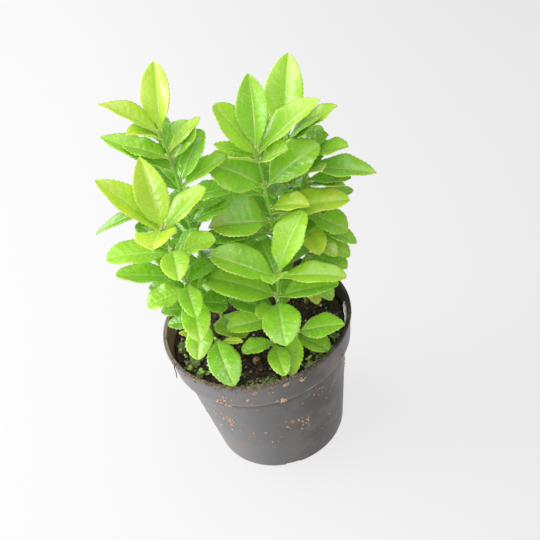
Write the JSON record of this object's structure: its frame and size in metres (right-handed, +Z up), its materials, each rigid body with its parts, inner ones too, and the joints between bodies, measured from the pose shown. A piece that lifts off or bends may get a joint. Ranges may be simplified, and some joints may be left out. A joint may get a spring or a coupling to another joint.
{
  "type": "potted euonymus",
  "caption": "Bushy young evergreen euonymus with glossy oval leaves on upright shoots, growing in soil in a round black plastic nursery pot with a stepped rim band.",
  "frame": {"origin": "centre of the pot's base, on the flat pad that stands on the surface", "axes": "+Z up along the pot's axis; +X to the side of the right shoots; -Y towards the front, low shoots"},
  "size_m": [0.1662, 0.1209, 0.269],
  "materials": {
    "pot": "matt black moulded plastic, dusty",
    "soil": "moist dark peat compost with fine bark",
    "stem": "green young bark with brown older patches",
    "leaf": "glossy leathery mid green leaf with a pale midrib",
    "young_leaf": "soft glossy yellow-green young leaf"
  },
  "bodies": {
    "root": {"pot": "pot", "soil": "soil", "stem_front": "stem", "leaf_front_1": "leaf", "leaf_front_2": "leaf", "leaf_front_3": "leaf", "leaf_front_4": "leaf", "leaf_front_5": "leaf", "leaf_front_6": "leaf", "leaf_front_7": "leaf", "stem_centre": "stem", "leaf_centre_1": "leaf", "leaf_centre_2": "leaf", "leaf_centre_3": "leaf", "leaf_centre_4": "leaf", "leaf_centre_5": "leaf", "leaf_centre_6": "leaf", "leaf_centre_7": "leaf", "leaf_centre_8": "leaf", "leaf_centre_9": "young_leaf", "leaf_centre_10": "young_leaf", "stem_left": "stem", "leaf_left_1": "young_leaf", "leaf_left_2": "young_leaf", "leaf_left_3": "leaf", "leaf_left_4": "leaf", "leaf_left_5": "leaf", "leaf_left_6": "leaf", "leaf_left_7": "leaf", "stem_left_front": "stem", "leaf_left_front_1": "young_leaf", "leaf_left_front_2": "young_leaf", "leaf_left_front_3": "young_leaf", "leaf_left_front_4": "young_leaf", "leaf_left_front_5": "leaf", "leaf_left_front_6": "leaf", "leaf_left_front_7": "leaf", "leaf_left_front_8": "leaf", "leaf_left_front_9": "leaf", "leaf_left_front_10": "leaf", "leaf_left_front_11": "leaf", "leaf_left_front_12": "leaf", "stem_right": "stem", "leaf_right_1": "leaf", "leaf_right_2": "leaf", "leaf_right_3": "leaf", "leaf_right_4": "leaf", "leaf_right_5": "leaf", "stem_back": "stem", "leaf_back_1": "leaf", "leaf_back_2": "leaf", "leaf_back_3": "leaf", "stem_low_left": "stem", "leaf_low_left_1": "leaf", "stem_low_front": "stem", "leaf_low_front_1": "leaf", "leaf_low_front_2": "leaf", "stem_low_right": "stem", "leaf_low_right_1": "leaf", "leaf_low_right_2": "leaf"}
  },
  "joints": []
}
